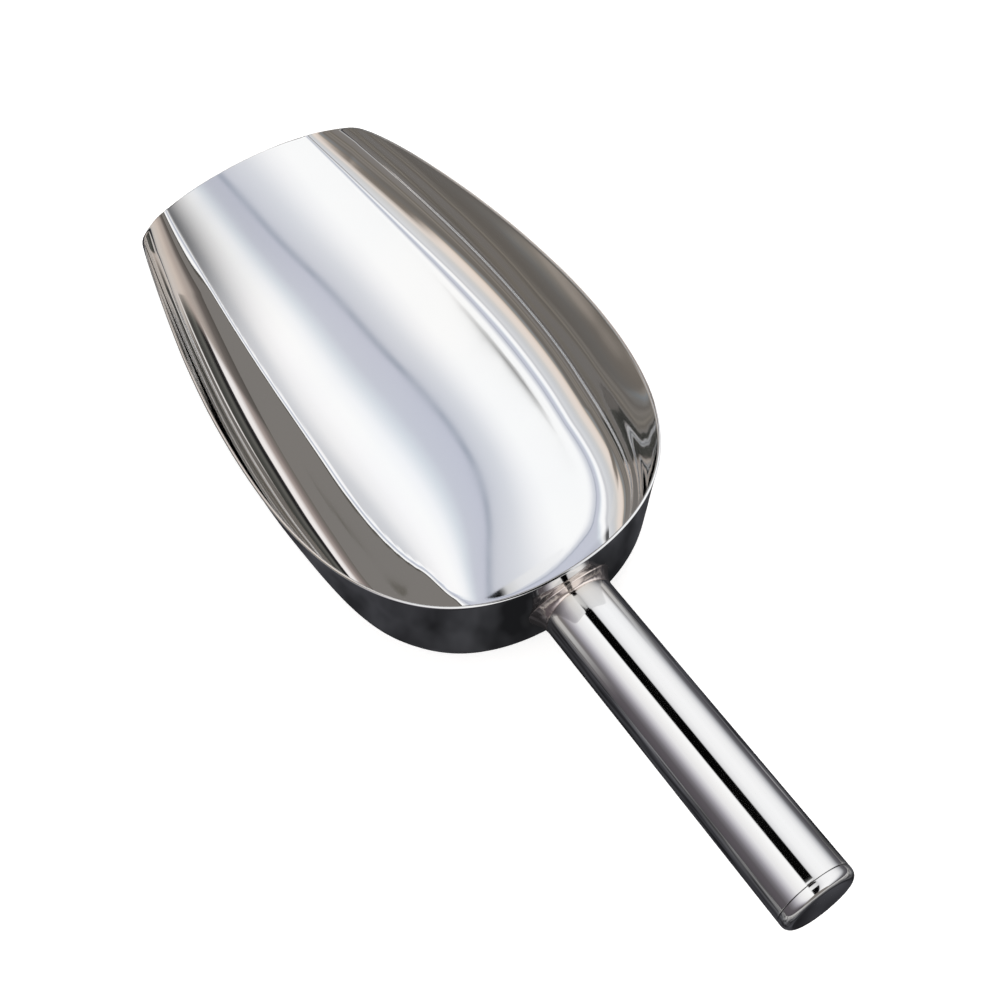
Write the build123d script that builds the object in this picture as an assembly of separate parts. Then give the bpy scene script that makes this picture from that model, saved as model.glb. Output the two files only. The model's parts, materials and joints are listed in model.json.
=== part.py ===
"""Stainless-steel ice scoop: a deep-drawn one-piece bowl with a welded round tube handle.

Units are millimetres. +Y runs from the handle to the pouring lip, +Z is up and the scoop is
symmetric about X = 0. The origin is on the underside, at the middle of the bowl's length,
where the flat bottom rests on a counter.
"""

import math
import os

from build123d import *

# Bowl
SHEET = 1.0  # thickness of the drawn sheet
BOWL_LENGTH = 235.0  # back wall to the middle of the lip
BOWL_DEPTH = 66.5  # rim height at the back wall
BACK_DRAFT = 0.5  # degrees that the back wall leans outwards
SIDE_DRAFT = 5.0  # degrees that the side walls lean outwards
DRAFT_CHANGE = (0.28, 0.50)  # stretch of the half outline where one draft turns into the other
FLOOR_RADIUS = 18.0  # outside radius between the walls and the flat bottom
BACK = -BOWL_LENGTH / 2
FRONT = BOWL_LENGTH / 2

# Half of the bowl's plan outline at the rim: one Bezier curve from the middle of the back
# wall round to the open front. It runs on past the lip, until the rim cut trims it.
BACK_HANDLE = 89.0  # reach of the curve's handle along the back wall
SIDE_HANDLE = (73.0, 121.5)  # half width and distance from the back wall
FRONT_HALF_WIDTH = 40.0
PRESSING_LENGTH = 247.0
OUTLINE_STEPS = 16  # spline points along each half of an offset outline

# Rim, seen from the side: a Bezier curve that falls gently from the back wall and rounds
# down to the lip. In plan every point of it bows forward towards the centre line.
RIM_RUN = 145.0  # reach of the back handle
RIM_FALL = 0.18  # fall per millimetre of that handle
RIM_NOSE = 26.0  # height of the front handle, straight above the lip
RIM_VIEW = [
    (BACK, BOWL_DEPTH),
    (BACK + RIM_RUN, BOWL_DEPTH - RIM_RUN * RIM_FALL),
    (FRONT, RIM_NOSE),
    (FRONT, 0),
]
LIP_BOW = 0.006  # bow per millimetre of half width squared

# Handle
TUBE_RADIUS = 12.7
TUBE_WALL = 1.2
HANDLE_LENGTH = 121.0  # back wall to the cap's end face, along the tube's axis
HANDLE_TILT = 13.0  # degrees that the handle rises towards its end
HANDLE_HEIGHT = 38.0  # height of the tube's axis at the back wall

# Weld bead round the foot of the handle. It takes in the end of the tube, which is fused into it.
WELD_TOE = 4.5  # reach of the bead along the tube, measured on the tube's axis
WELD_LEG = 3.0  # 45 degree face that meets the tube
WELD_FOOT = 17.5  # outside radius at the root, where the bead spreads on the wall
WELD_ROOT = 6.0  # depth of the bead's root behind the wall's middle, before it is trimmed

# End cap
CAP_BAND = 3.8  # length of the cap outside the tube
CAP_SHOULDER = 2.6  # radius of the cap's rounded shoulder
CAP_SHEET = 1.5
SKIRT_LENGTH = 8.0  # reach of the cap's skirt into the tube
SKIRT_GAP = 0.05  # radial clearance of the skirt in the tube

CUT_WIDTH = 75.0  # half width of the trimming shapes
CUT_REACH = 80.0  # how far the trimming shapes run above the rim and past the lip


def rim_height(distance):
    """Height of the rim above the flat bottom, at a bowed distance from the back wall."""
    if distance >= BOWL_LENGTH:
        return 0
    side = Bezier(*[(y - BACK, z) for y, z in RIM_VIEW])
    low, high = 0, 1
    for _ in range(30):
        middle = (low + high) / 2
        if side.position_at(middle, position_mode=PositionMode.PARAMETER).X < distance:
            low = middle
        else:
            high = middle
    return side.position_at(low, position_mode=PositionMode.PARAMETER).Y


def draft_slope(where):
    """Tangent of the wall's draft at a place along the half outline, 0 at the back to 1."""
    start, end = DRAFT_CHANGE
    share = min(max((where - start) / (end - start), 0), 1)
    eased = share * share * (3 - 2 * share)
    return math.tan(math.radians(BACK_DRAFT + (SIDE_DRAFT - BACK_DRAFT) * eased))


def outline_points(inset, height):
    """Plan outline of a skin at a height, from the open front's left end round to its right.

    The wall passes through the rim's outline at the height of the rim, and leans from there.
    """
    half = Bezier(
        (0, BACK),
        (BACK_HANDLE, BACK),
        (SIDE_HANDLE[0], BACK + SIDE_HANDLE[1]),
        (FRONT_HALF_WIDTH, BACK + PRESSING_LENGTH),
    )
    right = []
    for step in range(OUTLINE_STEPS + 1):
        where = step / OUTLINE_STEPS
        point = half.position_at(where, position_mode=PositionMode.PARAMETER)
        along = half.tangent_at(where, position_mode=PositionMode.PARAMETER)
        rim = rim_height(point.Y - BACK + LIP_BOW * point.X**2)
        move = inset + (rim - height) * draft_slope(where)
        right.append((point.X - along.Y * move, point.Y + along.X * move))
    left = [(-x, y) for x, y in reversed(right[1:])]
    return left + right


def plan_section(inset, height):
    """Face inside the plan outline at a height, closed by a straight front edge."""
    points = outline_points(inset, height)
    face = make_face([Spline(*points), Line(points[-1], points[0])]).face()
    return face.moved(Location((0, 0, height)))


def pressing(inset, floor_height, corner_radius):
    """Solid up to one skin of the drawn bowl, before its rim is trimmed."""
    sections = [plan_section(inset, floor_height), plan_section(inset, BOWL_DEPTH)]
    block = loft(sections, ruled=True)
    floor_face = block.faces().sort_by(Axis.Z)[0]
    rounded = [edge for edge in floor_face.edges() if edge.geom_type != GeomType.LINE]
    return fillet(rounded, corner_radius)


def rim_trim():
    """What the rim cut takes away: all that is above the rim, and all that is past the lip."""
    bow = LIP_BOW * CUT_WIDTH**2
    plan_view = [(-CUT_WIDTH, -bow), (0, bow), (CUT_WIDTH, -bow)]
    grid = [[(x, y + shift, z) for x, shift in plan_view] for y, z in RIM_VIEW]
    above = extrude(Face.make_bezier_surface(grid), amount=CUT_REACH, dir=(0, 0, 1))

    lip = Bezier(*[(x, FRONT + shift) for x, shift in plan_view])
    far = FRONT + CUT_REACH
    frame = Polyline(lip @ 1, (CUT_WIDTH, far), (-CUT_WIDTH, far), lip @ 0)
    ahead_face = make_face([lip, frame]).face().moved(Location((0, 0, -SHEET)))
    ahead = extrude(ahead_face, amount=BOWL_DEPTH + CUT_REACH, dir=(0, 0, 1))
    return above, ahead


def handle_axis():
    """Plane on the middle of the back wall, with its Z along the handle."""
    tilt = math.radians(HANDLE_TILT)
    return Plane(
        origin=(0, BACK, HANDLE_HEIGHT),
        x_dir=(1, 0, 0),
        z_dir=(0, -math.cos(tilt), math.sin(tilt)),
    )


def rod(radius, start, end):
    """Round bar on the handle's axis between two distances from the back wall."""
    bar = Cylinder(radius, end - start, align=(Align.CENTER, Align.CENTER, Align.MIN))
    return handle_axis() * Pos(0, 0, start) * bar


def bowl(outer_skin):
    inner_skin = pressing(SHEET, SHEET, FLOOR_RADIUS - SHEET)
    above, ahead = rim_trim()
    return outer_skin - inner_skin - above - ahead


def handle_tube():
    tube_end = HANDLE_LENGTH - CAP_BAND
    bore = rod(TUBE_RADIUS - TUBE_WALL, WELD_TOE, tube_end)
    return rod(TUBE_RADIUS, WELD_TOE, tube_end) - bore


def handle_weld(outer_skin):
    """Ring that fills the corner between the tube's end and the back wall."""
    bore = TUBE_RADIUS - TUBE_WALL
    section = Polyline(
        (bore, -WELD_ROOT),
        (WELD_FOOT, -WELD_ROOT),
        (TUBE_RADIUS + WELD_LEG, WELD_TOE - WELD_LEG),
        (TUBE_RADIUS, WELD_TOE),
        (bore, WELD_TOE),
        close=True,
    )
    ring = revolve(Plane.XZ * make_face(section), Axis.Z)
    return handle_axis() * ring - outer_skin


def end_cap():
    """Pressed cap: a closed end with a rounded shoulder, and a skirt inside the tube."""
    seam = HANDLE_LENGTH - CAP_BAND
    bore = TUBE_RADIUS - TUBE_WALL
    disc = rod(TUBE_RADIUS, seam, HANDLE_LENGTH)
    head = fillet(disc.edges().sort_by(Axis.Y)[0], CAP_SHOULDER)
    skirt = rod(bore - SKIRT_GAP, seam - SKIRT_LENGTH, seam)
    hollow = rod(bore - SKIRT_GAP - CAP_SHEET, seam - SKIRT_LENGTH, HANDLE_LENGTH - CAP_SHEET)
    return head + skirt - hollow


def main():
    os.makedirs("parts", exist_ok=True)
    outer_skin = pressing(0, 0, FLOOR_RADIUS)
    nodes = {
        "bowl": bowl(outer_skin),
        "handle_tube": handle_tube(),
        "handle_weld": handle_weld(outer_skin),
        "end_cap": end_cap(),
    }
    for name, solid in nodes.items():
        export_step(solid, f"parts/{name}.step")


main()
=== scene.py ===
"""Visual model of a mirror-polished stainless-steel ice scoop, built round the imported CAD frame.

Shapes are worked out in millimetres, and the studio in metres.
"""
import math

import bpy
from mathutils import Matrix, Vector, noise
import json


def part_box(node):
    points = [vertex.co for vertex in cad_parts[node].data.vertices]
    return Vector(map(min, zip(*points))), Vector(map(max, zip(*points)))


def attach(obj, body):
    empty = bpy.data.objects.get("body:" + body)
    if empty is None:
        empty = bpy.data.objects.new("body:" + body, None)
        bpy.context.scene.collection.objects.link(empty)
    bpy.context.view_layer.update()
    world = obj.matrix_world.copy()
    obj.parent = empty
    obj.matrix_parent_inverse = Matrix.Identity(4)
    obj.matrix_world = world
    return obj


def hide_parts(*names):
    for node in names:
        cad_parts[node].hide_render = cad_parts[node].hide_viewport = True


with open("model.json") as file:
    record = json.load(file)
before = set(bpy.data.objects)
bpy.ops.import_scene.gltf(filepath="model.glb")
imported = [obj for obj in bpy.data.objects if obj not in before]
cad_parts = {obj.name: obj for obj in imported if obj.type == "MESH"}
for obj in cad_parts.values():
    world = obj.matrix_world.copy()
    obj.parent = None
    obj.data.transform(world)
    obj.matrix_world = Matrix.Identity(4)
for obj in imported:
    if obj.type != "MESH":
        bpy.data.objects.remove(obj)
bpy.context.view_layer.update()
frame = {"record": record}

MM = 0.001

# --------------------------------------------------------------------------------------
# The bowl's shape, in the CAD model's millimetres. Plan coordinates start at the middle
# of the back wall: x across, y towards the lip. Curves are Bezier curves, and an ease is
# (where it starts, how far it takes).
# --------------------------------------------------------------------------------------
bowl_low, bowl_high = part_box("bowl")
BACK = bowl_low.y / MM
LENGTH = (bowl_high.y - bowl_low.y) / MM
DEPTH = (bowl_high.z - bowl_low.z) / MM
SHEET = 1.0

# Rim and flat floor in plan, and the rim's height against the distance from the back wall.
OUTLINE = [(0.0, 0.0), (88.95, 0.0), (73.0, 121.5), (40.0, 247.0)]
FLAT = [(0.0, 22.0), (59.0, 22.0), (50.0, 91.0), (30.0, 247.0)]
RIM = [(0.0, DEPTH), (145.0, DEPTH - 145.0 * 0.18), (LENGTH, 26.0), (LENGTH, 0.0)]

# The lip bows back from its middle, by a + b x^2 + c x^4, and further at its corners.
LIP_BOW = (0.8, 0.0028, 7.3e-7)
LIP_CUT = 2.8
LIP_CUT_ACROSS, LIP_CUT_ALONG = (34.0, 12.0), (170.0, 60.0)

# Height of the rounded corner between floor and wall, and how far the walls lean outwards.
CORNER, CORNER_AT_LIP = 18.0, 13.0
CORNER_EASE = (0.55, 0.4)
BACK_LEAN, SIDE_LEAN = 0.5, 5.0
LEAN_EASE = (0.28, 0.22)

# The side walls' own features fade in and out along the outline.
SIDE_FROM, SIDE_TO = (0.12, 0.2), (0.6, 0.42)
SHOULDER_RUN, SHOULDER_SLOPE = 9.5, math.radians(8.5)
SHOULDER_FULL = 3.0
LEAST_RUN = 0.05
CREASE = 0.9
GENTLE_RUN = 1.8

# Lengths of the corner curve's handles, as shares of its height and width.
UPRIGHT, UPRIGHT_AT_BACK, UPRIGHT_AT_SIDES = 0.60, 0.26, 0.30
BACK_EASE, SIDES_EASE = (0.08, 0.14), (0.34, 0.28)
LEVEL, LEVEL_ON_RIGHT = 0.56, 0.22
UPRIGHT_ON_RIGHT = (0.56, 0.19)
FOOT_INSET = 0.25

# The mesh: columns from rim to spine, crowded towards the lip, and points down each.
WALL_COLUMNS = 200
LIP_COLUMNS = 26
COLUMN_SPREAD = 1.5
ROWS = 96
CREASE_STEPS = 16
BEND_STEPS = 48
PAST_RIM = 4.0
SPINE = (66.0, 214.0)
EDGE_ROUND = 0.32
EDGE_STEPS = 7

# Unevenness of the drawn walls: its size, the heights over which it sets in, the middle that
# it pushes towards, and how much of it is level, a slow wave and a quicker ripple. Waves are
# given by their frequencies in x, y and z, and where they start.
MARK = 0.5
MARK_EASE = (4.0, 14.0)
MARK_MIDDLE, MARK_ALONG = 120.0, 0.4
MARK_LEVEL, MARK_WAVE, MARK_RIPPLE = 0.30, 0.5, 0.09
WAVE, WAVE_START = (0.021, 0.019, 0.034), (3.0, 0.0, 0.0)
RIPPLE, RIPPLE_START = (0.06, 0.05, 0.09), (0.0, 7.0, 0.0)


def bezier(points, t):
    """Point of a plane cubic Bezier curve."""
    a, b, c, d = (1 - t) ** 3, 3 * t * (1 - t) ** 2, 3 * t * t * (1 - t), t**3
    p, q, r, s = points
    return (
        a * p[0] + b * q[0] + c * r[0] + d * s[0],
        a * p[1] + b * q[1] + c * r[1] + d * s[1],
    )


def eased(value, start, span):
    """Eases from 0 at start to 1 at start + span."""
    share = min(max((value - start) / span, 0.0), 1.0)
    return share * share * (3 - 2 * share)


def bisect(f, low, high, rounds=36):
    """Where f, negative at low, turns positive before high."""
    for _ in range(rounds):
        middle = (low + high) / 2
        if f(middle) < 0:
            low = middle
        else:
            high = middle
    return (low + high) / 2


def bowed(x, y):
    """Distance from the back wall along the length, as the bowed lip measures it."""
    a, b, c = LIP_BOW
    cut = LIP_CUT * eased(abs(x), *LIP_CUT_ACROSS) * eased(y, *LIP_CUT_ALONG)
    return y + a + b * x * x + c * x**4 + cut


def rim_height(s):
    """Height of the rim cut at the bowed distance s from the back wall; below 0 past the lip."""
    if s <= 0:
        return DEPTH
    if s >= LENGTH:
        return -1.0 - (s - LENGTH)
    t = bisect(lambda t: bezier(RIM, t)[0] - s, 0.0, 1.0)
    return bezier(RIM, t)[1]


class Skin:
    """One skin of the pressed sheet: inset 0 is the outside, inset SHEET the inside.

    A section runs in the upright plane through a point of the rim's outline and the point
    of the flat floor's outline with the same parameter t. On the left-hand side (-1) the
    floor rises a little, over a shallow press line, before the corner; on the right (1) the
    corner starts more gently.
    """

    def __init__(self, inset, side):
        self.floor = inset
        self.side = side
        self.lines = {}

    def line(self, t):
        """Section at t as (origin, direction, samples), samples being (length, run, z)."""
        if t not in self.lines:
            self.lines[t] = self.section(t)
        return self.lines[t]

    def section(self, t):
        x, y = bezier(OUTLINE, t)
        fx, fy = bezier(FLAT, t)
        reach = math.hypot(fx - x, fy - y)
        way = ((fx - x) / reach, (fy - y) / reach)
        corner = CORNER + (CORNER_AT_LIP - CORNER) * eased(t, *CORNER_EASE)
        lean = BACK_LEAN + (SIDE_LEAN - BACK_LEAN) * eased(t, *LEAN_EASE)
        tilt = math.tan(math.radians(lean))
        top = max(rim_height(bowed(x, y)), corner)
        wall = self.floor + (top - corner) * tilt

        middle = eased(t, *SIDE_FROM) * (1 - eased(t, *SIDE_TO))
        run = SHOULDER_RUN * middle if self.side < 0 else 0.0
        slope = math.tan(SHOULDER_SLOPE) * min(run / SHOULDER_FULL, 1.0)
        wide = GENTLE_RUN * middle if self.side > 0 else 0.0
        knee = (reach + FOOT_INSET * self.floor + wide, self.floor + run * slope)
        span = (corner - knee[1], knee[0] - wall)

        upright = UPRIGHT + UPRIGHT_AT_BACK * eased(t, *BACK_EASE)
        upright -= UPRIGHT_AT_SIDES * eased(t, *SIDES_EASE)
        level = LEVEL
        if self.side > 0:
            level += LEVEL_ON_RIGHT * middle
            upright = max(upright, UPRIGHT_ON_RIGHT[0] + UPRIGHT_ON_RIGHT[1] * middle)
        bend = [
            knee,
            (knee[0] - level * span[1], knee[1] + level * span[1] * slope),
            (wall + upright * span[0] * tilt, corner - upright * span[0]),
            (wall, corner),
        ]

        # A gentle rise from the flat floor, eased in over CREASE, comes before the corner.
        path = []
        for k in range(CREASE_STEPS + 1 if run > LEAST_RUN else 0):
            u = run * (k / CREASE_STEPS) ** 2
            ease = min(u, CREASE)
            z = self.floor + slope * (u - ease + ease * ease / (2 * CREASE))
            path.append((knee[0] + run - u, z))
        lift = path[-1][1] - knee[1] if path else 0.0
        for k in range(1 if path else 0, BEND_STEPS + 1):
            r, z = bezier(bend, k / BEND_STEPS)
            path.append((r, z + lift * (1 - k / BEND_STEPS)))

        samples = [(0.0, *path[0])]
        for here in path[1:]:
            step = math.hypot(here[0] - samples[-1][1], here[1] - samples[-1][2])
            samples.append((samples[-1][0] + step, *here))
        rise = DEPTH + PAST_RIM - corner
        far = samples[-1][0] + math.hypot(rise, rise * tilt)
        samples.append((far, wall - rise * tilt, corner + rise))
        return (x, y), way, samples

    def point(self, t, length):
        """Point on the right half, t along the outline and length up from the flat floor."""
        (x, y), way, samples = self.line(t)
        low, high = 0, len(samples) - 1
        while high - low > 1:
            middle = (low + high) // 2
            if samples[middle][0] <= length:
                low = middle
            else:
                high = middle
        a, b = samples[low], samples[high]
        share = (length - a[0]) / (b[0] - a[0])
        run = a[1] + (b[1] - a[1]) * share
        return Vector((x + way[0] * run, y + way[1] * run, a[2] + (b[2] - a[2]) * share))

    def above_rim(self, t, length):
        p = self.point(t, length)
        return p.z - rim_height(bowed(p.x, p.y))

    def columns(self):
        """Lines of points from the rim down to the floor's spine, back middle to lip middle."""
        last = bisect(lambda t: self.above_rim(t, 0.0), 0.5, 1.0)
        lip = bisect(lambda s: self.floor - rim_height(s), LENGTH - 6, LENGTH)
        made = []
        for i in range(WALL_COLUMNS + 1):
            t = last * (1 - (1 - i / WALL_COLUMNS) ** COLUMN_SPREAD)
            top = bisect(lambda q: self.above_rim(t, q), 0.0, self.line(t)[2][-1][0])
            made.append((t, max(top - EDGE_ROUND, 0.0), None))
        edge = self.point(last, 0.0).x
        for i in range(1, LIP_COLUMNS + 1):
            x = edge * (1 - i / LIP_COLUMNS)
            made.append((None, 0.0, Vector((x, lip - EDGE_ROUND - bowed(x, 0.0), self.floor))))
        return [self.column(*entry, i / (len(made) - 1)) for i, entry in enumerate(made)]

    def column(self, t, top, lip_point, share):
        foot = lip_point if t is None else self.point(t, 0.0)
        along = SPINE[0] + (SPINE[1] - SPINE[0]) * eased(share, 0.0, 1.0)
        spine = Vector((0.0, along, self.floor))
        across = (spine - foot).length
        line = []
        for k in range(ROWS + 1):
            run = (top + across) * k / ROWS
            if run < top:
                line.append(self.point(t, top - run))
            else:
                line.append(foot.lerp(spine, (run - top) / across))
        return line


def crest(low_side, high_side):
    """Points over the rounded edge, from one skin's column to the other's."""
    a, b = low_side[0], high_side[0]
    up = (a - low_side[1]).normalized() + (b - high_side[1]).normalized()
    up = up.normalized() * EDGE_ROUND
    middle, half = (a + b) / 2, (a - b) / 2
    fullness = 0.7
    points = []
    for k in range(1, EDGE_STEPS):
        angle = math.pi * k / EDGE_STEPS
        c, s = math.cos(angle), math.sin(angle)
        flat = math.copysign(abs(c) ** fullness, c)
        points.append(middle + half * flat + up * s**fullness)
    return points


def new_object(name, vertices, faces, material):
    mesh = bpy.data.meshes.new(name)
    mesh.from_pydata(vertices, [], faces)
    mesh.validate()
    mesh.materials.append(material)
    mesh.polygons.foreach_set("use_smooth", [True] * len(mesh.polygons))
    obj = bpy.data.objects.new(name, mesh)
    bpy.context.scene.collection.objects.link(obj)
    return obj


def press_marks(p):
    """Slight unevenness of the drawn walls, always inwards, in millimetres."""
    depth = eased(p.z, *MARK_EASE)
    away = Vector((p.x, MARK_ALONG * (p.y - MARK_MIDDLE), 0.0))
    if depth == 0.0 or away.length < 1.0:
        return Vector((0.0, 0.0, 0.0))
    wave = noise.noise(Vector([v * f + s for v, f, s in zip(p, WAVE, WAVE_START)]))
    ripple = noise.noise(Vector([v * f + s for v, f, s in zip(p, RIPPLE, RIPPLE_START)]))
    push = max(MARK_LEVEL + MARK_WAVE * wave + MARK_RIPPLE * ripple, 0.0)
    return away.normalized() * (-MARK * depth * push)


def build_bowl(material):
    """Closed sheet: both skins, joined over a rounded, polished edge."""
    skins = {side: (Skin(0.0, side).columns(), Skin(SHEET, side).columns()) for side in (1, -1)}
    vertices, faces = [], []

    def place(p, side):
        q = Vector((p.x * side, p.y, p.z))
        q += press_marks(q)
        vertices.append(Vector((q.x, q.y + BACK, q.z)) * MM)
        return len(vertices) - 1

    count = len(skins[1][0])
    loops = []
    spines = [[place(column[-1], 1) for column in skin] for skin in skins[1]]
    order = [(i, 1) for i in range(count)] + [(i, -1) for i in range(count - 2, 0, -1)]
    for i, side in order:
        outside, inside = skins[side]
        line = [spines[0][i]]
        line += [place(p, side) for p in reversed(outside[i][:-1])]
        line += [place(p, side) for p in crest(outside[i], inside[i])]
        line += [place(p, side) for p in inside[i][:-1]]
        line += [spines[1][i]]
        loops.append(line)
    for a, b in zip(loops, loops[1:] + loops[:1]):
        for k in range(len(a) - 1):
            faces.append([a[k], b[k], b[k + 1], a[k + 1]])
    return new_object("scoop_bowl", vertices, faces, material)


# --------------------------------------------------------------------------------------
# Handle: tube, weld bead and cap are turned about the axis that the record gives.
# Distances along it, u, start at the back wall.
# --------------------------------------------------------------------------------------
grip = next(m for m in frame["record"]["mounts"] if m["name"] == "handle_grip")
AXIS = Vector(grip["axis"]).normalized()
GRIP_MIDDLE = Vector(grip["pos_m"]) / MM
FOOT = GRIP_MIDDLE - AXIS * ((GRIP_MIDDLE.y - BACK) / AXIS.y)
SIDE = Vector((1.0, 0.0, 0.0))
TOP = SIDE.cross(AXIS).normalized() * -1
TUBE = grip["dims"]["r_mm"]
GRIP_LENGTH = grip["dims"]["length_mm"]
TUBE_WALL = 1.2
BORE = TUBE - TUBE_WALL
TOE = (GRIP_MIDDLE - FOOT).length - GRIP_LENGTH / 2
END = 121.0
SEAM = END - 3.8
SEAM_GAP = 0.06
SHOULDER = 2.6
TURNS = 160

# The weld bead's width, and how a slow and a fine unevenness change it and its toe's line.
BEAD, BEAD_SLOW, BEAD_FINE = 2.7, 0.3, 0.1
TOE_SLOW, TOE_FINE = 0.25, 0.08
SLOW, FINE = (3.1, 0.4), (11.0, 5.0)
BEAD_TURNS, BEAD_STEPS = 300, 16


def on_handle(r, angle, u):
    """Point at radius r and distance u from the back wall; angle 0 is the handle's top."""
    return FOOT + AXIS * u + (SIDE * math.sin(angle) + TOP * math.cos(angle)) * r


def turned(name, profile, material):
    """Solid of revolution of a closed loop of (radius, distance) points."""
    vertices, rings, faces = [], [], []
    for r, u in profile:
        if r == 0.0:
            vertices.append(on_handle(0.0, 0.0, u) * MM)
            rings.append([len(vertices) - 1])
            continue
        rings.append(list(range(len(vertices), len(vertices) + TURNS)))
        vertices += [on_handle(r, 2 * math.pi * i / TURNS, u) * MM for i in range(TURNS)]
    for a, b in zip(rings, rings[1:] + rings[:1]):
        for i in range(TURNS if len(a) + len(b) > 2 else 0):
            j = (i + 1) % TURNS
            if len(a) == 1:
                faces.append([a[0], b[i], b[j]])
            elif len(b) == 1:
                faces.append([a[i], b[0], a[j]])
            else:
                faces.append([a[i], b[i], b[j], a[j]])
    return new_object(name, vertices, faces, material)


def round_corner(centre, radius, start, end, steps):
    """Points of an arc in the (radius, distance) plane, angles in degrees."""
    points = []
    for k in range(steps + 1):
        a = math.radians(start + (end - start) * k / steps)
        points.append((centre[0] + radius * math.cos(a), centre[1] + radius * math.sin(a)))
    return points


def build_tube(material):
    """Tube with small rounded ends, hollow like the real one."""
    lip, steps = 0.22, 40
    start, length = TOE + 0.4, SEAM - TOE - 1.2
    end = SEAM - SEAM_GAP
    profile = [(TUBE, start + length * k / steps) for k in range(steps + 1)]
    profile += round_corner((TUBE - lip, end - lip), lip, 0, 90, 5)
    profile += [(BORE, end)]
    profile += [(BORE, TOE), (TUBE - 0.3, TOE), (TUBE - 0.04, TOE + 0.12)]
    return turned("handle_tube_polished", profile, material)


def build_cap(material):
    """Pressed cap: seam edge, band, rounded shoulder, slightly domed end and hidden skirt."""
    edge, steps = 0.24, 12
    end, dome = END - 0.02, 0.25
    start = SEAM + SEAM_GAP
    flat = TUBE - SHOULDER
    profile = round_corner((TUBE - edge, start + edge), edge, -90, 0, 5)
    profile += [(TUBE, SEAM + 0.7), (TUBE, END - SHOULDER - 0.4)]
    profile += round_corner((flat, END - SHOULDER), SHOULDER, 0, 84, 14)
    for k in range(1, steps):
        share = 1 - k / steps
        profile.append((flat * share, end - dome * (1 - share**2)))
    profile += [(0.0, end - dome)]
    skirt, sheet_inside, skirt_end = BORE - 0.05, END - 1.8, SEAM - 8.0
    inside = skirt - 1.5
    profile += [(0.0, sheet_inside), (inside, sheet_inside), (inside, skirt_end)]
    profile += [(skirt, skirt_end), (skirt, start)]
    return turned("end_cap_polished", profile, material)


def wall_distance(r, angle):
    """Distance u at which a line along the handle, at radius r, meets the back wall."""
    p = on_handle(r, angle, 0.0)
    t = bisect(lambda t: bezier(OUTLINE, t)[0] - abs(p.x), 0.0, 0.5)
    plan = bezier(OUTLINE, t)[1]
    lean = math.tan(math.radians(BACK_LEAN))

    def outside(u):
        """1 on the handle's side of the wall's outer face, and -1 behind it."""
        q = on_handle(r, angle, u)
        return 1 if q.y - BACK < plan + (DEPTH - q.z) * lean else -1

    return bisect(outside, -15.0, 15.0, rounds=30)


def build_weld(material):
    """Polished bead: a slightly uneven ring, fused into the wall and round the tube's end."""
    foot_power, toe_power = 1.25, 0.8

    def uneven(angle, size, start):
        return noise.noise(Vector((math.cos(angle) * size, math.sin(angle) * size, start)))

    vertices, rings, faces = [], [], []
    for i in range(BEAD_TURNS):
        angle = 2 * math.pi * i / BEAD_TURNS
        slow, fine = uneven(angle, *SLOW), uneven(angle, *FINE)
        spread = BEAD + BEAD_SLOW * slow + BEAD_FINE * fine
        toe_u = TOE + TOE_SLOW * slow + TOE_FINE * fine
        foot_u = wall_distance(TUBE + spread, angle)
        ring = []
        for k in range(BEAD_STEPS + 1):
            s = k / BEAD_STEPS
            r = TUBE + 0.03 + spread * s**foot_power
            ring.append(on_handle(r, angle, toe_u + (foot_u - toe_u) * s**toe_power))
        ring.append(on_handle(TUBE + spread, angle, foot_u - 0.5))
        ring.append(on_handle(BORE, angle, wall_distance(BORE, angle) - 0.3))
        ring.append(on_handle(BORE, angle, TOE - 0.05))
        ring.append(on_handle(TUBE - 0.05, angle, TOE + 0.1))
        rings.append(list(range(len(vertices), len(vertices) + len(ring))))
        vertices += [p * MM for p in ring]
    for a, b in zip(rings, rings[1:] + rings[:1]):
        for k in range(len(a)):
            n = (k + 1) % len(a)
            faces.append([a[k], b[k], b[n], a[n]])
    return new_object("weld_bead_polished", vertices, faces, material)


# --------------------------------------------------------------------------------------
# Materials
# --------------------------------------------------------------------------------------
def linear(*levels):
    """Scene-linear colour of display levels from 0 to 255."""
    return tuple(((v / 255 + 0.055) / 1.055) ** 2.4 if v > 10 else v / 255 / 12.92 for v in levels)


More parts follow.
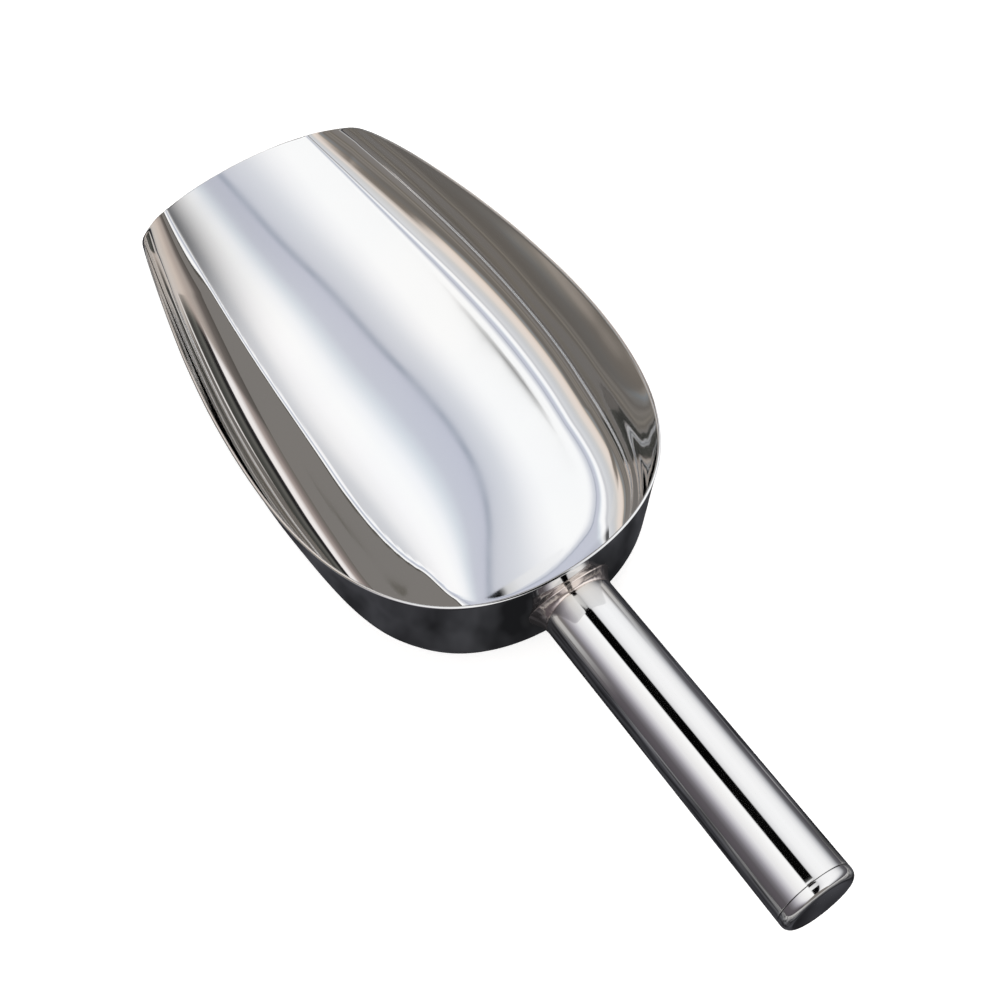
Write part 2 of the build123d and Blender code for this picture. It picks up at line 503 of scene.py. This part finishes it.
class Nodes:
    """Small helper that builds a node tree."""

    def __init__(self, owner):
        owner.use_nodes = True
        self.tree = owner.node_tree
        self.tree.nodes.clear()

    def add(self, kind, inputs=None, **settings):
        made = self.tree.nodes.new(kind)
        for key, value in settings.items():
            setattr(made, key, value)
        for key, value in (inputs or {}).items():
            if isinstance(value, bpy.types.NodeSocket):
                self.tree.links.new(value, made.inputs[key])
            else:
                made.inputs[key].default_value = value
        return made

    def place(self):
        """Position in the object's own coordinates."""
        return self.add("ShaderNodeTexCoord").outputs["Object"]

    def math(self, operation, a, b=0.0, c=0.0):
        return self.add("ShaderNodeMath", {0: a, 1: b, 2: c}, operation=operation).outputs[0]

    def vector(self, operation, a, b=(0.0, 0.0, 0.0)):
        """Vector arithmetic; dot products, lengths and distances come out as a number."""
        made = self.add("ShaderNodeVectorMath", {0: a, 1: b}, operation=operation)
        number = operation in ("DOT_PRODUCT", "LENGTH", "DISTANCE")
        return made.outputs["Value" if number else "Vector"]

    def noise(self, place, scale, detail):
        inputs = {"Vector": place, "Scale": scale, "Detail": detail}
        return self.add("ShaderNodeTexNoise", inputs).outputs[0]

    def remap(self, value, start, end, low=0.0, high=1.0, interpolation="LINEAR"):
        """low at start and before it, high at end and after it."""
        inputs = {"Value": value, "From Min": start, "From Max": end}
        inputs |= {"To Min": low, "To Max": high}
        made = self.add("ShaderNodeMapRange", inputs, interpolation_type=interpolation)
        return made.outputs[0]

    def mix(self, share, first, second):
        """Colour between first and second."""
        inputs = {"Factor": share, 6: first, 7: second}
        return self.add("ShaderNodeMix", inputs, data_type="RGBA").outputs[2]

    def ramp(self, factor, stops):
        """Colour ramp of (position, colour) stops."""
        made = self.add("ShaderNodeValToRGB", {"Fac": factor})
        elements = made.color_ramp.elements
        for extra in stops[2:]:
            elements.new(extra[0])
        for element, (position, colour) in zip(elements, stops):
            element.position = position
            element.color = (*colour, 1.0)
        return made.outputs["Color"]

    def curve(self, value, points):
        """Smooth curve through (value, result) points."""
        made = self.add("ShaderNodeFloatCurve", {"Value": value})
        line = made.mapping.curves[0]
        for extra in points[1:-1]:
            line.points.new(*extra)
        line.points[0].location = points[0]
        line.points[-1].location = points[-1]
        made.mapping.update()
        return made.outputs[0]

    def emission(self, colour, strength):
        return self.add("ShaderNodeEmission", {"Color": colour, "Strength": strength}).outputs[0]

    def see_through(self, share, shader):
        """The shader, turning transparent as share goes to 1."""
        clear = self.add("ShaderNodeBsdfTransparent").outputs[0]
        return self.add("ShaderNodeMixShader", {0: share, 1: shader, 2: clear}).outputs[0]

    def surface(self, shader):
        self.add("ShaderNodeOutputMaterial", {"Surface": shader})


# Noise of the steel as (scale, detail); the heat tint's share fades between two distances.
LINES, SMUDGE, CLOUD, SPECKS = (1.0, 3.0), (38.0, 4.0), (9.0, 2.0), (900.0, 1.0)
SMUDGE_FROM, SMUDGE_TO = 0.35, 0.75
HEAT_NEAR, HEAT_FAR, HEAT_SHARE = 0.0145, 0.020, 0.3


def steel(name, colour, tint, roughness, scratch_scale, scratch_depth, heat=None):
    """Polished stainless steel: faint polishing lines, smudges and a slight change of tint.

    scratch_scale stretches the polishing lines along one axis. heat is a colour that shows
    round the handle's foot.
    """
    material = bpy.data.materials.new(name)
    n = Nodes(material)
    place = n.place()
    lines_at = n.add("ShaderNodeMapping", {"Vector": place, "Scale": scratch_scale}).outputs[0]
    lines = n.noise(lines_at, *LINES)
    smudge = n.noise(place, *SMUDGE)
    cloud = n.noise(place, *CLOUD)
    specks = n.noise(place, *SPECKS)

    mixed = n.mix(n.math("MULTIPLY_ADD", cloud, 1.6, -0.3), (*colour, 1), (*tint, 1))
    if heat:
        away = n.vector("DISTANCE", place, FOOT * MM)
        near = n.remap(away, HEAT_NEAR, HEAT_FAR, HEAT_SHARE, 0.0)
        mixed = n.mix(near, mixed, (*heat, 1))

    low, high = roughness
    worn = n.remap(smudge, SMUDGE_FROM, SMUDGE_TO, low, high)
    rough = n.math("MULTIPLY_ADD", lines, (high - low) * 0.5, worn)
    relief = n.math("MULTIPLY_ADD", specks, 0.25, lines)
    bump = n.add("ShaderNodeBump", {"Height": relief, "Strength": 1.0, "Distance": scratch_depth})
    shader = n.add(
        "ShaderNodeBsdfPrincipled",
        {"Base Color": mixed, "Metallic": 1.0, "Roughness": rough, "Normal": bump.outputs[0]},
    )
    n.surface(shader.outputs[0])
    return material


STEEL = (0.80, 0.79, 0.775)
STEEL_COOL = (0.76, 0.775, 0.79)
bowl_steel = steel("bowl_mirror_steel", STEEL, STEEL_COOL, (0.02, 0.05), (60, 6, 60), 2e-7,
                   heat=(0.70, 0.62, 0.50))
tube_steel = steel("tube_mirror_steel", STEEL, STEEL_COOL, (0.03, 0.07), (8, 700, 8), 3e-7,
                   heat=(0.78, 0.70, 0.62))
weld_steel = steel("weld_polished_steel", (0.86, 0.78, 0.73), (0.80, 0.71, 0.66), (0.09, 0.18),
                   (900, 900, 900), 4e-6)
cap_steel = steel("cap_mirror_steel", STEEL, STEEL_COOL, (0.05, 0.11), (500, 60, 60), 5e-7)

pieces = [
    (build_bowl(bowl_steel), "bowl", "bowl_steel"),
    (build_tube(tube_steel), "handle_tube", "tube_steel"),
    (build_weld(weld_steel), "handle_weld", "weld_steel"),
    (build_cap(cap_steel), "end_cap", "cap_steel"),
]
for piece, node_name, slot_name in pieces:
    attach(piece, "root")
    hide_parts(node_name)


# --------------------------------------------------------------------------------------
# Studio: cards that show only in reflections, a pale floor and a backdrop
# --------------------------------------------------------------------------------------
STEEL_REFLECTS = 0.79
CARD_STRENGTH = 1.0 / STEEL_REFLECTS


def glow(name, stops, across=None, dimmer=None, other=None, share=None):
    """Emission that follows a ramp of (position, display levels) across a card.

    The position is x in metres, or whatever across(n, x, y) makes of the card's x and y.
    dimmer(n, position, y) gives a factor for the strength, and share(n, position, y) how far
    the colour goes over to the ramp of other stops, with the same ends.
    """
    material = bpy.data.materials.new(name)
    n = Nodes(material)
    axes = n.add("ShaderNodeSeparateXYZ", {0: n.place()})
    x, y = axes.outputs["X"], axes.outputs["Y"]
    position = across(n, x, y) if across else x
    low, high = stops[0][0], stops[-1][0]
    factor = n.math("DIVIDE", n.math("SUBTRACT", position, low), high - low)

    def ramp(levels_at):
        return n.ramp(factor, [((p - low) / (high - low), linear(*v)) for p, v in levels_at])

    colour = ramp(stops)
    if other:
        colour = n.mix(share(n, position, y), colour, ramp(other))
    strength = CARD_STRENGTH
    if dimmer:
        strength = n.math("MULTIPLY", dimmer(n, position, y), CARD_STRENGTH)
    n.surface(n.emission(colour, strength))
    return material


def card(name, rows, material, origin=(0.0, 0.0, 0.0)):
    """Flat or bent studio card from rows of points, in metres; it shows only in reflections."""
    width = len(rows[0])
    points = [p for row in rows for p in row]
    faces = []
    for r in range(len(rows) - 1):
        for c in range(width - 1):
            a = r * width + c
            faces.append([a, a + 1, a + width + 1, a + width])
    obj = new_object(name, points, faces, material)
    obj.location = origin
    obj.visible_camera = False
    obj.visible_diffuse = False
    obj.visible_shadow = False
    obj.visible_transmission = False
    return obj


def rectangle(x0, y0, x1, y1, z):
    """Rows of a level card's corners."""
    return [[(x0, y0, z), (x1, y0, z)], [(x0, y1, z), (x1, y1, z)]]


# Overhead diffuser above the bowl. The flat floor mirrors its left edge and its bowed seam,
# which are given as (y, x).
CARD_HEIGHT = 1.0
LEFT_EDGE = [(0.0, 0.125), (0.219, 0.113), (0.349, 0.102), (0.487, 0.093), (0.616, 0.100),
             (0.751, 0.106), (1.0, 0.110)]
SEAM_LINE = [(0.0, 0.09), (0.10, 0.125), (0.19, 0.162), (0.229, 0.187), (0.269, 0.214),
             (0.316, 0.234), (0.372, 0.243), (0.435, 0.242), (0.531, 0.231), (0.630, 0.221),
             (0.727, 0.206), (0.823, 0.196), (1.0, 0.175)]
RIGHT_EDGE = 0.345
DIFFUSER = [(-0.45, (214, 215, 218)), (-0.12, (206, 206, 209)), (-0.02, (203, 203, 207)),
            (0.07, (207, 208, 212)), (0.16, (238, 237, 238)), (0.28, (250, 249, 250)),
            (0.40, (252, 252, 252)), (0.52, (244, 245, 248)), (0.64, (215, 221, 228)),
            (0.74, (197, 200, 211)), (0.955, (195, 197, 210)), (0.985, (158, 164, 177)),
            (1.015, (159, 165, 178)), (1.05, (200, 202, 211)), (1.24, (215, 217, 223)),
            (1.43, (241, 241, 243)), (1.57, (251, 251, 251)), (1.97, (250, 250, 250)),
            (2.03, (60, 58, 56)), (2.4, (98, 94, 88))]
SHADE_FROM, SHADE_TO = 0.58, 0.84
CORNER_SHADE = [(0.0, 0.86), (0.12, 0.66), (0.3, 0.36), (0.55, 0.10), (0.9, 0.10), (1.0, 0.0)]


def diffuser_position(n, x, y):
    """0 at the left edge, 1 at the seam, 2 at the right edge."""
    left, seam = n.curve(y, LEFT_EDGE), n.curve(y, SEAM_LINE)
    before = n.math("DIVIDE", n.math("SUBTRACT", x, left), n.math("SUBTRACT", seam, left))
    after = n.math("DIVIDE", n.math("SUBTRACT", x, seam), n.math("SUBTRACT", RIGHT_EDGE, seam))
    return n.math("ADD", n.math("MINIMUM", before, 1.0), n.math("MAXIMUM", after, 0.0))


def far_corner_shade(n, position, y):
    """The diffuser falls off towards its far left corner."""
    far = n.remap(y, SHADE_FROM, SHADE_TO, interpolation="SMOOTHSTEP")
    inside = n.math("MINIMUM", n.math("MAXIMUM", position, 0.0), 1.0)
    left = n.curve(inside, CORNER_SHADE)
    return n.math("SUBTRACT", 1.0, n.math("MULTIPLY", far, left))


card("diffuser_over_bowl", rectangle(0.07, 0.0, 0.40, 1.3, CARD_HEIGHT),
     glow("diffuser_light", DIFFUSER, across=diffuser_position, dimmer=far_corner_shade))

# Warm reflector to the left, which the right-hand wall's foot mirrors. Part of it is shaded.
REFLECTOR = [(-2.6, (124, 118, 111)), (-2.1, (108, 103, 97)), (-1.75, (136, 129, 121)),
             (-1.5, (116, 111, 105)), (-1.22, (130, 124, 118)), (-1.0, (110, 105, 100)),
             (-0.84, (128, 125, 122)), (-0.72, (131, 135, 138)), (-0.60, (157, 150, 142)),
             (-0.50, (218, 204, 192)), (-0.37, (229, 216, 207)), (-0.22, (225, 215, 207)),
             (-0.11, (206, 204, 202)), (-0.02, (203, 204, 207)), (0.07, (214, 215, 218))]
SHADED = [(-2.6, (124, 118, 111)), (-1.0, (108, 103, 98)), (-0.72, (112, 108, 104)),
          (-0.50, (118, 111, 104)), (-0.37, (126, 118, 110)), (-0.28, (190, 180, 172)),
          (-0.20, (222, 212, 204)), (-0.11, (206, 204, 202)), (0.07, (214, 215, 218))]
BAND = (0.49, 0.55, 0.62, 0.72)


def shaded_band(n, position, y):
    """The reflector is shaded where the right-hand wall mirrors it twice."""
    starts = n.remap(y, BAND[0], BAND[1], interpolation="SMOOTHSTEP")
    ends = n.remap(y, BAND[2], BAND[3], 1.0, 0.0, interpolation="SMOOTHSTEP")
    return n.math("MULTIPLY", starts, ends)


card("reflector_left", rectangle(-2.6, -0.2, 0.07, 2.6, CARD_HEIGHT),
     glow("reflector_light", REFLECTOR, other=SHADED, share=shaded_band))

# Screen to the right: a strip light over dark cloth, which the left-hand corner mirrors. It
# is a level card stood on edge, so its x is minus the height.
SCREEN_X = 2.2
SCREEN = [(-3.4, (104, 100, 95)), (-2.9, (128, 118, 114)), (-2.45, (170, 158, 153)),
          (-2.25, (214, 206, 203)), (-2.05, (238, 233, 231)), (-1.72, (236, 231, 229)),
          (-1.66, (52, 50, 50)), (-1.42, (24, 23, 25)), (-1.15, (96, 95, 91)),
          (-0.80, (66, 66, 63)), (-0.56, (72, 70, 66)), (-0.50, (226, 222, 219)),
          (-0.40, (226, 222, 219)), (-0.36, (88, 84, 80)), (0.0, (104, 98, 92))]
PALE_SCREEN = [(-3.4, (82, 78, 74)), (-2.6, (106, 99, 95)), (-2.0, (166, 156, 149)),
               (-1.55, (178, 165, 157)), (-1.0, (201, 188, 178)), (-0.25, (200, 192, 186)),
               (0.0, (182, 174, 167))]
PALE_SLANT, PALE_FROM, PALE_TO = 0.27, 1.0, 1.08


def toward_lip(n, position, y):
    """The screen turns pale where the lip's corner mirrors it."""
    slant = n.math("MULTIPLY_ADD", position, PALE_SLANT, y)
    return n.remap(slant, PALE_FROM, PALE_TO, interpolation="SMOOTHSTEP")


screen = card("screen_right", rectangle(-3.4, 0.85, 0.0, 3.4, 0.0),
              glow("screen_light", SCREEN, other=PALE_SCREEN, share=toward_lip))
screen.rotation_euler = (0.0, math.radians(90), 0.0)
screen.location = (SCREEN_X, 0.0, 0.0)

# Light tent round the handle, with a gap along the top that is closed over a short stretch.
# Its stops are (degrees round the axis, display levels). Low at its sides it fades out
# beside the bowl, whose outside would mirror its end.
TENT_RADIUS = 100.0
TENT_ENDS = (-40.0, 340.0)
CLOSED = (0.100, 0.130)
CLOSING = 0.002
GAP_LEVEL = 0.01
LOW_DOWN = (1.15, 1.45)
BESIDE_BOWL = (-0.036, 0.008)
TENT = [(-115, (60, 59, 62)), (-102, (82, 78, 82)), (-92, (87, 82, 87)), (-83, (90, 86, 90)),
        (-73, (116, 113, 118)), (-63, (156, 153, 160)), (-54, (196, 194, 199)),
        (-44, (228, 227, 229)), (-35, (238, 237, 237)), (-17, (250, 250, 250)),
        (-14, (235, 235, 235)), (-12.5, (2, 2, 2)), (7.5, (3, 3, 3)), (9, (205, 205, 206)),
        (13, (226, 226, 228)), (24, (241, 241, 242)), (42, (245, 245, 246)),
        (60, (239, 239, 240)), (70, (224, 224, 226)), (80, (184, 185, 189)),
        (90, (104, 104, 107)), (99, (82, 80, 85)), (115, (66, 66, 69))]


def tent_light():
    """Emission by angle round the handle's axis."""
    material = bpy.data.materials.new("tent_light")
    n = Nodes(material)
    offset = n.vector("SUBTRACT", n.place(), FOOT * MM)
    right, over, along = (n.vector("DOT_PRODUCT", offset, way) for way in (SIDE, TOP, AXIS))
    angle = n.math("ARCTAN2", right, over)
    low, high = math.radians(TENT[0][0]), math.radians(TENT[-1][0])
    factor = n.math("DIVIDE", n.math("SUBTRACT", angle, low), high - low)
    stops = [((math.radians(a) - low) / (high - low), linear(*levels)) for a, levels in TENT]
    without_gap = [stop for stop in stops if sum(stop[1]) > GAP_LEVEL]
    starts = n.remap(along, CLOSED[0] - CLOSING, CLOSED[0])
    ends = n.remap(along, CLOSED[1], CLOSED[1] + CLOSING, 1.0, 0.0)
    closed = n.math("MULTIPLY", starts, ends)
    colour = n.mix(closed, n.ramp(factor, stops), n.ramp(factor, without_gap))
    low_down = n.remap(n.math("ABSOLUTE", angle), *LOW_DOWN)
    beside = n.remap(along, *BESIDE_BOWL, 1.0, 0.0, interpolation="SMOOTHSTEP")
    faded = n.math("MULTIPLY", low_down, beside)
    n.surface(n.see_through(faded, n.emission(colour, CARD_STRENGTH)))
    return material


tent_rows = [
    [on_handle(TENT_RADIUS, math.radians(a), u) * MM for a in range(-106, 107, 2)]
    for u in TENT_ENDS
]
card("tent_round_handle", tent_rows, tent_light())

# Painted shade under the scoop: a dark sheet that shows only in reflections, where the floor is
# pale, stands in for the shade that the scoop's outside mirrors. It grows paler and fades out
# with the distance from the scoop's middle, which counts for more across than along.
SHADE_SHEET_HALF = 0.65
SHADE_SHEET_MIDDLE = (0.0, -0.06, -0.0006)
SHADE_SHEET_STRETCH = (2.3, 0.85, 0.0)
SHADE_SHEET_FADE = (0.42, 0.6)
SHADE_SHEET_CLOUD = (30.0, 3.0)
SHADE_SHEET_TONES = [(0.0, linear(50, 51, 53)), (0.40, linear(58, 58, 62)),
             (0.55, linear(100, 100, 103)), (0.75, linear(150, 149, 149)),
             (1.0, linear(178, 176, 174))]


def painted_shade_sheet():
    """Painted shade as uneven dark emission, paler and then transparent towards its edge."""
    material = bpy.data.materials.new("painted_shade_sheet")
    n = Nodes(material)
    place = n.place()
    away = n.vector("LENGTH", n.vector("MULTIPLY", place, SHADE_SHEET_STRETCH))
    cloud = n.noise(place, *SHADE_SHEET_CLOUD)
    tone = n.ramp(n.math("MULTIPLY", away, 2.0), SHADE_SHEET_TONES)
    uneven = n.math("MAXIMUM", n.math("MULTIPLY_ADD", cloud, 5.0, -1.5), 0.35)
    n.surface(n.see_through(n.remap(away, *SHADE_SHEET_FADE), n.emission(tone, uneven)))
    return material


# Painted shade: the dark sheet under the scoop, seen only in reflections.
card("painted_shade_under_scoop", rectangle(-SHADE_SHEET_HALF, -SHADE_SHEET_HALF, SHADE_SHEET_HALF, SHADE_SHEET_HALF, 0.0), painted_shade_sheet(), origin=SHADE_SHEET_MIDDLE)

# Pale floor and backdrop, which only the camera sees. The floor's own light rises to white
# with the distance from the scoop.
WHITE = (1.0, 1.0, 1.0, 1.0)
RISE_FROM, RISE_TO, NEAR_LIGHT = 0.6, 3.0, 0.72
pale = bpy.data.materials.new("pale_floor")
n = Nodes(pale)
dull = n.add("ShaderNodeBsdfDiffuse", {"Color": (0.80, 0.80, 0.80, 1.0)}).outputs[0]
away = n.vector("LENGTH", n.place())
lift = n.emission(WHITE, n.remap(away, RISE_FROM, RISE_TO, NEAR_LIGHT, 1.0))
n.surface(n.add("ShaderNodeAddShader", {0: dull, 1: lift}).outputs[0])

FLOOR, FLOOR_Z = 14.0, -0.0004
corners = [(-FLOOR, -FLOOR), (FLOOR, -FLOOR), (FLOOR, FLOOR), (-FLOOR, FLOOR)]
floor = new_object("floor", [(x, y, FLOOR_Z) for x, y in corners], [[0, 1, 2, 3]], pale)
floor.visible_glossy = False
floor.visible_diffuse = False

white = bpy.data.materials.new("backdrop_white")
n = Nodes(white)
n.surface(n.emission(WHITE, 1.0))
BACKDROP, BACKDROP_ENDS, FACETS = 13.0, (-0.5, 12.0), 64
ring = []
for z in BACKDROP_ENDS:
    for i in range(FACETS):
        a = math.tau * i / FACETS
        ring.append((BACKDROP * math.cos(a), BACKDROP * math.sin(a), z))
wall_faces = []
for i in range(FACETS):
    j = (i + 1) % FACETS
    wall_faces.append([i, j, FACETS + j, FACETS + i])
backdrop = new_object("backdrop", ring, wall_faces, white)
backdrop.visible_glossy = False
backdrop.visible_diffuse = False
backdrop.visible_shadow = False

# The room: pale below the horizon, a warm dim grey above it.
SKY = [(0.0, (0.55, 0.55, 0.56)), (0.49, (0.62, 0.61, 0.60)), (0.52, (0.27, 0.25, 0.235)),
       (0.70, (0.24, 0.22, 0.205)), (1.0, (0.25, 0.235, 0.22))]
world = bpy.data.worlds.new("studio")
bpy.context.scene.world = world
n = Nodes(world)
place = n.add("ShaderNodeTexCoord").outputs["Generated"]
height = n.add("ShaderNodeSeparateXYZ", {0: place}).outputs["Z"]
sky = n.ramp(n.math("MULTIPLY_ADD", height, 0.5, 0.5), SKY)
back = n.add("ShaderNodeBackground", {"Color": sky, "Strength": 1.0})
n.add("ShaderNodeOutputWorld", {"Surface": back.outputs[0]})


def area_light(name, place, aim, size, power):
    """Square lamp that shines from place towards aim, and does not show in reflections."""
    data = bpy.data.lights.new(name, "AREA")
    data.shape = "SQUARE"
    data.size = size
    data.energy = power
    lamp = bpy.data.objects.new(name, data)
    bpy.context.scene.collection.objects.link(lamp)
    lamp.location = place
    lamp.rotation_mode = "QUATERNION"
    lamp.rotation_quaternion = (Vector(aim) - Vector(place)).to_track_quat("-Z", "Y")
    lamp.visible_glossy = False


area_light("key_soft", (0.5, 0.5, 1.6), (0, 0, 0), 1.6, 14.0)
area_light("fill_soft", (-0.9, -0.6, 1.5), (0, 0, 0), 1.6, 10.0)

# --------------------------------------------------------------------------------------
# Camera
# --------------------------------------------------------------------------------------
AZIMUTH, ELEVATION, ROLL = math.radians(-33.73), math.radians(67.40), math.radians(-0.18)
DISTANCE = 0.4765
AIM = Vector((5.0, BACK + 48.7, 16.1)) * MM
SENSOR, FOCAL_SHARE = 36.0, 1.370
toward = Vector((
    math.sin(AZIMUTH) * math.cos(ELEVATION),
    -math.cos(AZIMUTH) * math.cos(ELEVATION),
    math.sin(ELEVATION),
))
right = Vector((math.cos(AZIMUTH), math.sin(AZIMUTH), 0.0))
upward = toward.cross(right)
lens = bpy.data.cameras.new("camera")
lens.sensor_width = SENSOR
lens.lens = SENSOR * FOCAL_SHARE
lens.clip_start = 0.01
lens.clip_end = 100.0
camera = bpy.data.objects.new("camera", lens)
bpy.context.scene.collection.objects.link(camera)
turn = Matrix((right, upward, toward)).transposed() @ Matrix.Rotation(ROLL, 3, "Z")
camera.matrix_world = Matrix.Translation(AIM + toward * DISTANCE) @ turn.to_4x4()
bpy.context.scene.camera = camera
bpy.context.scene.view_settings.view_transform = "Standard"
